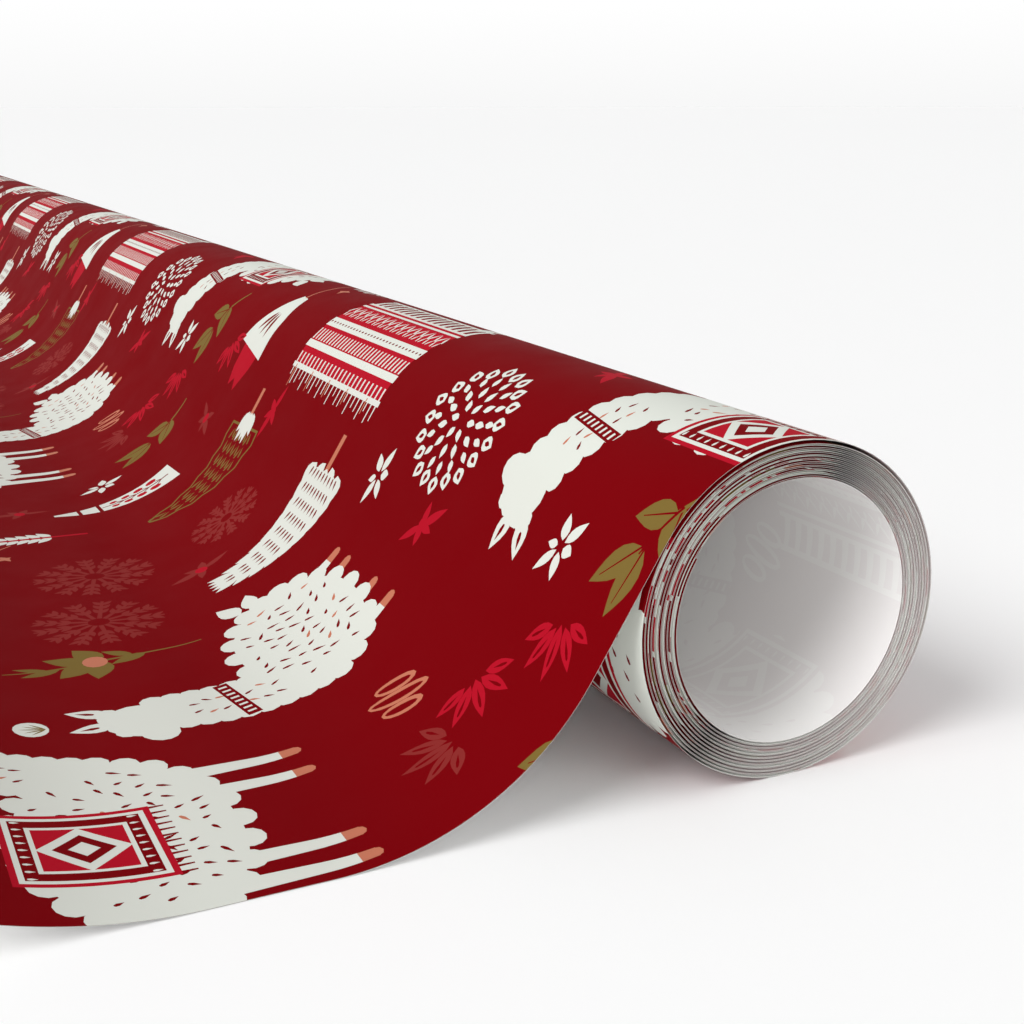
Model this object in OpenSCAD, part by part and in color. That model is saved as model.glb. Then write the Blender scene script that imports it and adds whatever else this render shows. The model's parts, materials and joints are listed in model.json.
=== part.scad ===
// Wrapping paper roll without a core, lying on a table.
// One printed web is wound on itself. Its outer end leaves the roll near the
// top, hangs down to the table, lies flat for a strip and curls up again at
// the free edge. X runs along the roll, the sheet is drawn off towards -Y and
// the table is Z = 0. The origin is on the table, in the middle of the part.

/* [Web] */
// Width of the web, which is also the length of the roll
web_w = 762; // [200:1:1000]
// Thickness of the paper
sheet_t = 0.14; // [0.1:0.01:0.16]

/* [Wound roll] */
// Radius of the open bore left down the middle
bore_r = 17; // [10:0.5:25]
// Turns wound inside the outer lap
turn_count = 21; // [6:1:50]
// Radial step from one turn to the next: the paper and the air on it
turn_pitch = 0.2; // [0.18:0.01:0.35]
// Gap in which the wound turns can spin inside the outer lap
lap_gap = 0.32; // [0.3:0.01:0.6]

/* [Drawn-off sheet] */
// Angle above +Y at which the sheet leaves the roll
leave_a = 148; // [135:1:155]
// Radius of the bend where the sheet comes down to the table
drape_r = 38; // [25:1:45]
// Depth of the strip that lies flat
laid_w = 13.5; // [8:0.5:60]
// Radius of the curl that the free end keeps
curl_r = 65; // [45:1:120]
// Angle of curl in the tail, next to the flat strip
tail_a = 24; // [10:1:35]
// Angle of curl in the leading edge, beyond the tail
edge_a = 26; // [10:1:35]

/* [Colours] */
// Ground colour of the printed side
print_c = "#7d0b12";
// Unprinted back and cut edges
back_c = "#e2e1dd";
// Wound turns, seen edge on
turn_c = "#b9a9a6";

/* [Hidden] */
$fn = 180;
// widest radius of the wound turns
coil_r = bore_r + turn_count * turn_pitch + sheet_t;
// inner radius of the outer lap at its hidden end
lap_in = coil_r + lap_gap;
// outer radius of the outer lap where the sheet leaves it
lap_out = lap_in + turn_pitch + sheet_t;
axis_z = lap_in + sheet_t;
// Y of the line where the hanging sheet meets the table
land_y = (lap_out - sheet_t + sin(leave_a) * axis_z
          + (1 - sin(leave_a)) * drape_r) / cos(leave_a);
// Y of the line where the free end starts to curl
lift_y = land_y - laid_w;
far_y = lift_y - curl_r * sin(tail_a + edge_a);
near_y = lap_out - turn_pitch / 2 * (1 - cos(leave_a));
// moves the roll's axis so that the part's box is centred on Y = 0
axis_y = -(near_y + far_y) / 2;

// Name of a wound turn, counted from the bore outwards
function turn_name(k) = str("turn_", k < 10 ? "0" : "", k);

// Point at radius r and angle a
function at(r, a) = [r * cos(a), r * sin(a)];

// Sector of the plane from angle a0 to a1, at most half a turn
module sector(r, a0, a1) {
    polygon([[0, 0], at(r, a0), at(r, (a0 + a1) / 2), at(r, a1)]);
}

// Paper bent to an arc of inner radius r, seen edge on
module bent(r, a0, a1) {
    intersection() {
        difference() {
            circle(r + sheet_t);
            circle(r);
        }
        sector(3 * r, a0, a1);
    }
}

// One turn that steps out by turn_pitch: two half circles, the second centred
// half a step aside, so that the turns follow each other without a kink
module spiral_turn(r) {
    bent(r, 0, 180);
    translate([turn_pitch / 2, 0]) bent(r + turn_pitch / 2, 180, 360);
}

// Draws an edge-on profile (Y, Z) out along the whole width of the web
module along_x(z = 0) {
    translate([0, axis_y, z])
        rotate([90, 0, 90])
            linear_extrude(web_w, center = true)
                children();
}

// A wound turn. The first is a plain ring round the bore, and the second
// starts on it with a short pressed-down step
module turn(k) {
    color(k == 1 ? back_c : turn_c)
        along_x(axis_z)
            rotate(leave_a)
                if (k == 1) {
                    difference() {
                        circle(bore_r + sheet_t);
                        circle(bore_r);
                    }
                } else {
                    spiral_turn(bore_r + (k - 1) * turn_pitch);
                    if (k == 2) bent(bore_r + sheet_t, 0, 3);
                }
}

// The last lap, which the sheet leaves and the wound turns spin in
module outer_lap() {
    color(print_c)
        along_x(axis_z)
            rotate(leave_a)
                spiral_turn(lap_in);
}

// One face of a bend, in flats of 2 degrees or less: an arc of radius r from
// angle a0 to a1, then a straight length n on from its end
function bend_face(r, a0, a1, n) =
    let (steps = ceil(abs(a1 - a0) / 2))
    concat(
        [for (i = [0 : steps]) at(r, a0 + (a1 - a0) * i / steps)],
        n > 0 ? [at(r, a1) + n * at(1, a1 + 90)] : []
    );

function backwards(v) = [for (i = [len(v) - 1 : -1 : 0]) v[i]];

// Paper bent along a line, seen edge on, with its outer face at radius r
module bend(r, a0, a1, n = 0) {
    polygon(concat(
        bend_face(r, a0, a1, n),
        backwards(bend_face(r - sheet_t, a0, a1, n))
    ));
}

// The sheet from where it leaves the roll down to the table: a straight fall,
// then a bend
module drape() {
    fall = (drape_r - axis_z) * cos(leave_a) - land_y * sin(leave_a);
    color(print_c)
        along_x()
            translate([land_y, drape_r])
                bend(drape_r, 270, leave_a + 180, fall);
}

// The strip that lies flat on the table
module laid_strip() {
    color(print_c)
        along_x()
            translate([lift_y, 0]) square([laid_w, sheet_t]);
}

// A stretch of the curling free end, between two angles of its curl
module curl(a0, a1) {
    color(print_c)
        along_x()
            translate([lift_y, curl_r])
                bend(curl_r, 270 - a0, 270 - a1);
}

// The free end next to the flat strip
module tail() {
    curl(0, tail_a);
}

// The last stretch up to the cut edge
module leading_edge() {
    curl(tail_a, tail_a + edge_a);
}

outer_lap();
drape();
laid_strip();
tail();
leading_edge();
for (k = [1 : turn_count])
    turn(k);
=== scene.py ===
import json
import logging
import math
import random
from dataclasses import dataclass, field
from enum import Enum

import bpy
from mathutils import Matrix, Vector
from mathutils.geometry import delaunay_2d_cdt


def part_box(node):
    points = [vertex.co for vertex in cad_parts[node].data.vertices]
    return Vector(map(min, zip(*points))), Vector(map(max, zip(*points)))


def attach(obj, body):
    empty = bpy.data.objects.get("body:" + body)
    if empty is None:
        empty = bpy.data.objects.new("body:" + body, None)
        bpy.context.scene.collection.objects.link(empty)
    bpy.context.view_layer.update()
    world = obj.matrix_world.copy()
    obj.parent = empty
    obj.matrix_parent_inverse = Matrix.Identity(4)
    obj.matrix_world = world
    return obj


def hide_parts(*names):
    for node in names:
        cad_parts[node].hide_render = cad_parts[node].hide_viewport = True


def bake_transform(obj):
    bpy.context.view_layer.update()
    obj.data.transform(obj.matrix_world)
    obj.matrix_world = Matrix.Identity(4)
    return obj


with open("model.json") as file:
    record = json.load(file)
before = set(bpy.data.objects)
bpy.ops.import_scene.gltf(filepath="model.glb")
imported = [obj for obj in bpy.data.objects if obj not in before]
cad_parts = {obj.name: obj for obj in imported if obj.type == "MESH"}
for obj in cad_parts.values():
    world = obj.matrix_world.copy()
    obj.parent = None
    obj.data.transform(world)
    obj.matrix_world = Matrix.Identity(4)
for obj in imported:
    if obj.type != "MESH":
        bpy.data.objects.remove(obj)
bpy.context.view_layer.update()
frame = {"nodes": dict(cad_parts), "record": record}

MM = 0.001
STEPS_PER_MM = 500  # flat corners that fall in the same step are one corner
RIM = 3.0 * MM  # how far in from the roll's ends a wound turn shows its print
FREE_CURL = 50  # degrees of curl in the free end
DIVIDE = 12  # degrees of curl at which the free end is divided
Point = tuple[float, float]
log = logging.getLogger("paper_roll")


class Ink(Enum):
    """What a face of the web shows: an ink of the print, or bare paper."""

    CRIMSON = "ink_crimson"
    WHITE = "ink_off_white"
    BRIGHT = "ink_bright_red"
    OLIVE = "ink_olive"
    COPPER = "ink_copper"
    RUST = "ink_rust"
    BACK = "paper_back"
    SHADE = "paper_back_over_ground"
    # the cut edge is bare paper, painted a grey darker than the paper as painted shade for the gaps between
    # the turns at the roll's ends
    EDGE = "paper_cut_edge_painted_shade"


# ---------------------------------------------------------------- outlines


def turned(points: list[Point], turn: float, u: float = 0.0, s: float = 0.0) -> list[Point]:
    """Turn an outline about its own origin and move it.

    Args:
        points: corners of the outline, in mm.
        turn: angle in degrees, anticlockwise.
        u, s: where the origin goes, in mm.

    Returns:
        The outline in its new place.
    """
    c, n = math.cos(math.radians(turn)), math.sin(math.radians(turn))
    return [(u + c * x - n * y, s + n * x + c * y) for x, y in points]


def away(reach: float, turn: float, u: float = 0.0, s: float = 0.0) -> Point:
    """The point at a distance from another, in a direction in degrees."""
    return turned([(reach, 0)], turn, u, s)[0]


def oval(u: float, s: float, ru: float, rs: float, turn: float = 0.0, sides: int = 14) -> list[Point]:
    """Outline of an oval.

    Args:
        u, s: its centre.
        ru, rs: its half width and half height.
        turn: its tilt in degrees.
        sides: how many corners it has.

    Returns:
        The corners, anticlockwise.
    """
    step = 2 * math.pi / sides
    ring = [(ru * math.cos(i * step), rs * math.sin(i * step)) for i in range(sides)]
    return turned(ring, turn, u, s)


def leaf(u: float, s: float, length: float, width: float, turn: float, sides: int = 6) -> list[Point]:
    """Outline of a leaf that grows from a point.

    Args:
        u, s: the foot of the leaf.
        length, width: its size.
        turn: the way it points, in degrees.
        sides: how many flats each side has.

    Returns:
        The corners, anticlockwise.
    """
    lower = [
        (length * i / sides, -width / 2 * math.sin(math.pi * (i / sides) ** 0.8))
        for i in range(sides + 1)
    ]
    upper = [(x, -y) for x, y in reversed(lower[1:-1])]
    return turned(lower + upper, turn, u, s)


def stroke(u: float, s: float, length: float, width: float, turn: float) -> list[Point]:
    """Outline of a short brush stroke about its middle, blunt at its head and thin at its tail.

    Args:
        u, s: the middle of the stroke.
        length, width: its size.
        turn: the way it points, in degrees.

    Returns:
        The corners, anticlockwise.
    """
    half, side = length / 2, width / 2
    shape = [(-half, 0), (0.2 * half, -side), (0.85 * half, -0.7 * side)]
    shape += [(half, 0), (0.85 * half, 0.7 * side), (0.2 * half, side)]
    return turned(shape, turn, u, s)


def slab(u0: float, s0: float, u1: float, s1: float) -> list[Point]:
    """Outline of an upright rectangle between two corners."""
    return [(u0, s0), (u1, s0), (u1, s1), (u0, s1)]


def limb(u0: float, s0: float, u1: float, s1: float, w0: float, w1: float) -> list[Point]:
    """Outline of a straight limb that changes width from one end to the other.

    Args:
        u0, s0, u1, s1: the middle of each end.
        w0, w1: the width at each end.

    Returns:
        The corners, anticlockwise.
    """
    length = math.hypot(u1 - u0, s1 - s0)
    turn = math.degrees(math.atan2(s1 - s0, u1 - u0))
    shape = [(0, -w0 / 2), (length, -w1 / 2), (length, w1 / 2), (0, w0 / 2)]
    return turned(shape, turn, u0, s0)


@dataclass(frozen=True)
class Patch:
    """One filled outline of the print.

    Attributes:
        ink: its colour.
        outline: its corners in mm.
    """

    ink: Ink
    outline: tuple[Point, ...]

    def bounds(self) -> tuple[float, float, float, float]:
        """Lowest u and s, and highest u and s."""
        us, ss = zip(*self.outline)
        return min(us), min(ss), max(us), max(ss)

    def holds(self, u: float, s: float) -> bool:
        """Whether a point lies inside the outline."""
        inside = False
        last = self.outline[-1]
        for corner in self.outline:
            if (corner[1] > s) != (last[1] > s):
                across = (last[0] - corner[0]) * (s - corner[1]) / (last[1] - corner[1])
                if u < across + corner[0]:
                    inside = not inside
            last = corner
        return inside


@dataclass
class Motif:
    """A figure of the print, drawn about its own origin with +s as its top.

    Attributes:
        patches: its filled outlines, the lowest first.
    """

    patches: list[Patch] = field(default_factory=list)

    def add(self, ink: Ink, *outlines: list[Point]) -> "Motif":
        """Lay more outlines on top, all in one ink."""
        self.patches += [Patch(ink, tuple(outline)) for outline in outlines]
        return self

    def placed(self, u: float, s: float, turn: float = 0.0, scale: float = 1.0,
               mirror: bool = False) -> list[Patch]:
        """Put the motif in its place on the web.

        Args:
            u, s: where its origin goes.
            turn: its tilt in degrees.
            scale: how much larger it gets.
            mirror: whether it faces the other way.

        Returns:
            Its patches in their places.
        """
        flip = -scale if mirror else scale
        moved = []
        for patch in self.patches:
            points = turned([(flip * x, scale * y) for x, y in patch.outline], turn, u, s)
            moved.append(Patch(patch.ink, tuple(points)))
        return moved


# ------------------------------------------------------------------ motifs


def petal_flower(ink: Ink) -> Motif:
    """A flower of six loose petals of two lengths.

    Args:
        ink: the colour of its petals.

    Returns:
        The motif, about 10 mm across.
    """
    motif = Motif()
    petals = (
        (52, 4.8, 1.6), (108, 4.0, 1.7), (172, 2.4, 2.0),
        (232, 4.7, 1.8), (288, 3.8, 1.9), (4, 2.3, 1.4),
    )
    for turn, length, width in petals:
        motif.add(ink, leaf(*away(0.8, turn), length, width, turn))
    return motif


def bud_sprig(ink: Ink, centre: Ink) -> Motif:
    """A small sprig of leaves round a bud.

    Args:
        ink: the colour of its leaves.
        centre: the colour of its bud.

    Returns:
        The motif, about 12 mm long.
    """
    motif = Motif()
    leaves = ((70, 6.5, 1.8), (130, 4.0, 1.6), (25, 3.6, 1.5), (250, 6.0, 1.5), (310, 3.4, 1.7))
    for turn, length, width in leaves:
        motif.add(ink, leaf(0, 0, length, width, turn))
    return motif.add(centre, oval(0, 0.2, 1.3, 1.1, sides=10))


def seed_burst(ink: Ink, ground: Ink, radius: float = 12.0) -> Motif:
    """A round head of seeds in three rings.

    Args:
        ink: the colour of the seeds.
        ground: the colour that shows through the outer seeds.
        radius: its size.

    Returns:
        The motif.
    """
    motif = Motif()
    rings = ((6, 0.14, 0.2, 0.12), (11, 0.36, 0.22, 0.12), (16, 0.59, 0.2, 0.11))
    for count, inner, length, width in rings:
        for i in range(count):
            turn = 360 * (i + 0.3 * (count % 3)) / count
            motif.add(ink, leaf(*away(inner * radius, turn), length * radius, width * radius, turn, 4))
    outer = 20
    for i in range(outer):
        turn = 360 * (i + 0.5) / outer
        reach = 0.8 if i % 2 else 0.76
        motif.add(ink, leaf(*away(reach * radius, turn), 0.26 * radius, 0.22 * radius, turn, 5))
        motif.add(ground, leaf(*away((reach + 0.06) * radius, turn), 0.13 * radius, 0.08 * radius, turn, 3))
    return motif


def fern_burst(ink: Ink, radius: float = 11.0) -> Motif:
    """A round head of forked twigs in one ink.

    Args:
        ink: its colour.
        radius: its size.

    Returns:
        The motif.
    """
    motif = Motif()
    twigs = 13
    for i in range(twigs):
        turn = 360 * i / twigs
        motif.add(ink, limb(*away(0.16 * radius, turn), *away(0.97 * radius, turn), 0.8, 0.5))
        for reach, spread in ((0.4, 30), (0.6, 34), (0.78, 38)):
            fork = away(reach * radius, turn)
            for side in (-1, 1):
                motif.add(ink, leaf(*fork, 0.24 * radius, 0.1 * radius, turn + side * spread, 4))
    return motif


def fir(body: Ink, marks: Ink, trunk: Ink, height: float = 27.0, half: float = 8.4) -> Motif:
    """A slim fir on a bare trunk, its sides ragged and its body cut by rows of needles.

    Args:
        body: the colour of the tree.
        marks: the colour of the needles cut into it.
        trunk: the colour of the trunk.
        height, half: the size of the body.

    Returns:
        The motif, standing on its body's foot.
    """
    motif = Motif()
    motif.add(trunk, limb(0, -7.5, 0, 1.5, 1.5, 1.5))
    rows = 9
    for row in range(rows):
        low = height * row / rows
        wide = half * (1 - 0.94 * (row / rows) ** 1.15)
        for i in range(5):
            across = (i / 2 - 1) * wide * 0.72
            lean = 90 - 20 * (i / 2 - 1)
            thick = 4.6 * (0.3 + wide / half * 0.7)
            motif.add(body, leaf(across * 0.9, low - 0.8, height / rows * 1.9, thick, lean, 5))
        if row == 0:
            for side in (-1, 1):
                motif.add(body, leaf(side * wide * 0.2, -1.5, 5, 3.0, 90 - 30 * side, 5))
    for row in range(rows):
        low = height * (row + 0.35) / rows
        wide = half * (1 - 0.94 * (row / rows) ** 1.15)
        count = max(1, round(wide * 1.1))
        for i in range(count):
            across = ((i + 0.5) / count * 2 - 1) * wide * 0.82
            lean = 90 - 22 * across / half
            motif.add(marks, stroke(across, low, height / rows * 0.66, 0.62, lean + 180))
    return motif


def outlined_fir(line: Ink, ground: Ink, cap: Ink, trunk: Ink, height: float = 27.0,
                 half: float = 7.6) -> Motif:
    """A fir drawn in outline with a few needles, and a capped foot.

    Args:
        line: the colour of its outline and needles.
        ground: the colour inside it.
        cap: the colour of the leaves round its foot.
        trunk: the colour of the trunk.
        height, half: the size of the body.

    Returns:
        The motif, standing on its body's foot.
    """
    motif = Motif()
    motif.add(trunk, limb(0, -9, 0, -2, 1.4, 1.4))
    for grow, ink in ((0.55, line), (0.0, ground)):
        sides = []
        for i in range(11):
            wide = (half * (1 - 0.97 * (i / 10) ** 1.4) + (0.6 if i % 2 else -0.15)) + grow
            sides.append((wide, height * i / 10 + (grow if i == 10 else -grow if i == 0 else 0)))
        motif.add(ink, sides + [(-x, y) for x, y in reversed(sides)])
    for row in range(8):
        low = height * (row + 0.5) / 8.4
        wide = half * (1 - 0.97 * (row / 8) ** 1.4)
        count = max(1, round(1.3 * wide))
        for i in range(count):
            across = ((i + 0.5) / count * 2 - 1) * wide * 0.78
            motif.add(line, stroke(across, low + 0.5 * (i % 2), 2.6, 0.7, 90 + 14 * (-1) ** i))
    leaves = ((-2.6, 118, 5.5), (0.0, 92, 6.5), (2.6, 64, 5.5), (-1.2, 100, 7), (1.4, 80, 7))
    for across, turn, length in leaves:
        motif.add(cap, leaf(across * 0.5, -3.5, length, 2.4, turn, 5))
    return motif


def striped_blanket(wide: float = 47.0, deep: float = 27.0) -> Motif:
    """A woven blanket of stripes, zigzags and dots with a fringe along its top edge.

    Args:
        wide, deep: its size without the fringe.

    Returns:
        The motif, about its middle.
    """
    motif = Motif()
    left, low = -wide / 2, -deep / 2
    motif.add(Ink.BRIGHT, slab(left + 0.4, low + 5, -left - 0.4, low + deep - 0.5))
    for at, thick in ((0.0, 0.9), (5.2, 0.8), (6.8, 0.7), (13.4, 2.6), (20.2, 1.6), (25.6, 1.1)):
        motif.add(Ink.WHITE, slab(left, low + at, -left, low + at + thick))
    teeth = 17
    for i in range(teeth):
        at = left + wide * i / teeth
        step = wide / teeth
        motif.add(Ink.WHITE, [(at + 0.1, low + 5.2), (at + 0.35 * step, low + 0.9),
                              (at + 0.75 * step, low + 0.9), (at + 0.55 * step, low + 5.2)])
    marks = 30
    for i in range(marks):
        at = left + wide * (i + 0.5) / marks
        motif.add(Ink.WHITE, stroke(at, low + 9.4, 2.9, 0.62, 62 if i % 2 else 118))
        motif.add(Ink.WHITE, stroke(at, low + 11.2, 2.2, 0.5, 108 if i % 2 else 72))
        motif.add(Ink.WHITE, limb(at, low + 17.0, at, low + 19.9, 0.5, 0.62))
        motif.add(Ink.CRIMSON, oval(at, low + 14.7, 0.36, 0.3, sides=8))
    fringe = 24
    for i in range(fringe):
        at = left + wide * (i + 0.5) / fringe
        reach = 3.2 + 1.1 * math.sin(2.4 * i)
        motif.add(Ink.WHITE, limb(at, low + 23.2, at, low + 26.3 + reach, 0.62, 0.3))
        if i % 5 == 2:
            motif.add(Ink.COPPER, limb(at + 0.9, low + 26, at + 0.9, low + 27 + reach, 0.45, 0.25))
    return motif


def leaf_pair(ink: Ink, vein: Ink) -> Motif:
    """Two pairs of broad leaves on a stem.

    Args:
        ink: the colour of the leaves.
        vein: the colour of the stem and veins.

    Returns:
        The motif, about 20 mm long.
    """
    motif = Motif()
    places = ((0, -6, 8.5, 4.8, 128), (0, -5, 7.5, 4.4, 40), (0, 1, 9.5, 4.0, 104), (0.6, 1, 9.5, 4.2, 66))
    for u, s, length, width, turn in places:
        motif.add(ink, leaf(u, s, length, width, turn))
        motif.add(vein, limb(u, s, *away(0.8 * length, turn, u, s), 0.35, 0.15))
    return motif.add(ink, limb(-1.5, -12, 0, -5, 0.5, 0.8)).add(vein, limb(0, -6, 0.3, 2, 0.5, 0.3))


def flowering_twig() -> Motif:
    """A long olive twig with leaves and one copper bud.

    Returns:
        The motif, about 32 mm long and standing up.
    """
    motif = Motif()
    motif.add(Ink.OLIVE, limb(0.4, -17, 0, 0, 0.25, 0.7), limb(0, 0, -1.2, 14, 0.7, 0.25))
    leaves = (
        (0.3, -8, 6.5, 2.4, 112), (0.2, -6, 5.5, 2.0, 48), (0, -1, 7.4, 4.2, 162), (0, -1, 7.2, 4.2, 24),
        (0, 0.5, 7.4, 4.4, 128), (0, 0.5, 7.6, 3.8, 60), (-0.8, 5.5, 6.5, 1.9, 108), (-0.9, 7, 5.5, 1.6, 72),
    )
    for u, s, length, width, turn in leaves:
        motif.add(Ink.OLIVE, leaf(u, s, length, width, turn))
    return motif.add(Ink.COPPER, oval(0, 0, 2.3, 1.9, sides=14))


def berry_cone() -> Motif:
    """A slim white cone with a sprig of berries up its middle.

    Returns:
        The motif, 27 mm high and standing on its foot.
    """
    motif = Motif()
    side = [(5.2, 0), (3.9, 7), (3.3, 12), (2.2, 19), (0.5, 27)]
    motif.add(Ink.WHITE, side + [(-u, s) for u, s in reversed(side)])
    motif.add(Ink.CRIMSON, slab(-3, 17.2, 3, 18.0), slab(-2.5, 21.4, 2.5, 22.2))
    motif.add(Ink.CRIMSON, limb(0, 1.5, 0, 17, 0.5, 0.35))
    for s, out, size in ((5.4, 2.1, 1.35), (8.6, 1.8, 1.2), (11.6, 1.55, 1.0), (14.4, 1.3, 0.85)):
        for side in (-1, 1):
            motif.add(Ink.BRIGHT, oval(side * out, s, size * 0.78, size, 20 * side, 10))
            motif.add(Ink.CRIMSON, limb(0, s - 2.2, side * out * 0.7, s - 0.6, 0.35, 0.25))
    return motif


def pennant() -> Motif:
    """A small white pennant over a brushed red field, hung from a thin cord.

    Returns:
        The motif, about 26 mm high.
    """
    motif = Motif()
    field_edge = [(-4.2, 1), (4.8, 2), (3.6, 7.5), (1.6, 10.5), (0.2, 8.8), (-1.8, 10.6), (-3.6, 6)]
    cloth_edge = [(-5.6, 3.6), (-4.2, -4), (-1.4, -9.5), (1.2, -9.5), (3.2, -5), (5.4, -0.5), (7.0, 3.2)]
    motif.add(Ink.BRIGHT, field_edge).add(Ink.WHITE, cloth_edge)
    for u, turn in ((-0.9, 100), (0.4, 82), (1.5, 66)):
        motif.add(Ink.CRIMSON, leaf(u * 0.6, -4.6, 5.2, 0.9, turn, 4))
    motif.add(Ink.COPPER, limb(0, -9.3, 1.2, -14, 0.4, 0.35), limb(1.2, -14, 4.2, -18, 0.35, 0.2))
    return motif.add(Ink.COPPER, leaf(-1.5, -15, 3, 1.2, 200, 4), leaf(-2.2, -16.5, 3, 1.1, 120, 4))


def feathered_branch() -> Motif:
    """A red stem between rows of white leaves.

    Returns:
        The motif, about 20 mm high.
    """
    motif = Motif()
    for i in range(6):
        for side in (-1, 1):
            motif.add(Ink.WHITE, leaf(0, 1 + 2.1 * i, 4.4 - 0.25 * i, 1.9, 90 - side * 52, 5))
    motif.add(Ink.WHITE, leaf(0, 11, 9, 4.2, 90))
    return motif.add(Ink.BRIGHT, limb(0, -6, 0, 15, 0.9, 0.9))


def leaf_fan(ink: Ink) -> Motif:
    """A small fan of brushed leaves.

    Args:
        ink: its colour.

    Returns:
        The motif, about 8 mm across.
    """
    motif = Motif()
    for i, length in enumerate((5.4, 6.8, 7.6, 6.6, 5.2)):
        turn, foot = 22 + 32 * i, (1.8 - 0.9 * i, -3.4 + 0.4 * (i % 2))
        motif.add(ink, leaf(*foot, length, 2.1, turn))
        motif.add(Ink.CRIMSON, stroke(*away(0.5 * length, turn, *foot), 0.5 * length, 0.5, turn))
    return motif


def loop_mark(ink: Ink) -> Motif:
    """Three open loops on each other.

    Args:
        ink: its colour.

    Returns:
        The motif, about 11 mm across.
    """
    motif = Motif()
    for s, half in ((-3.0, 3.4), (0.0, 4.8), (3.0, 3.2)):
        motif.add(ink, oval(0, s, half, 1.5, -6, 14))
        motif.add(Ink.CRIMSON, oval(0.2, s, half - 0.7, 0.75, -6, 12))
    return motif


def striped_ball() -> Motif:
    """A little ball with dark stripes.

    Returns:
        The motif, 5 mm across.
    """
    motif = Motif().add(Ink.WHITE, oval(0, 0, 2.6, 2.4, sides=16))
    for turn in (48, 69, 90, 111, 132):
        motif.add(Ink.OLIVE, leaf(0, -2.0, 3.7 - 0.02 * abs(turn - 90), 0.34, turn, 4))
    return motif


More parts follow.
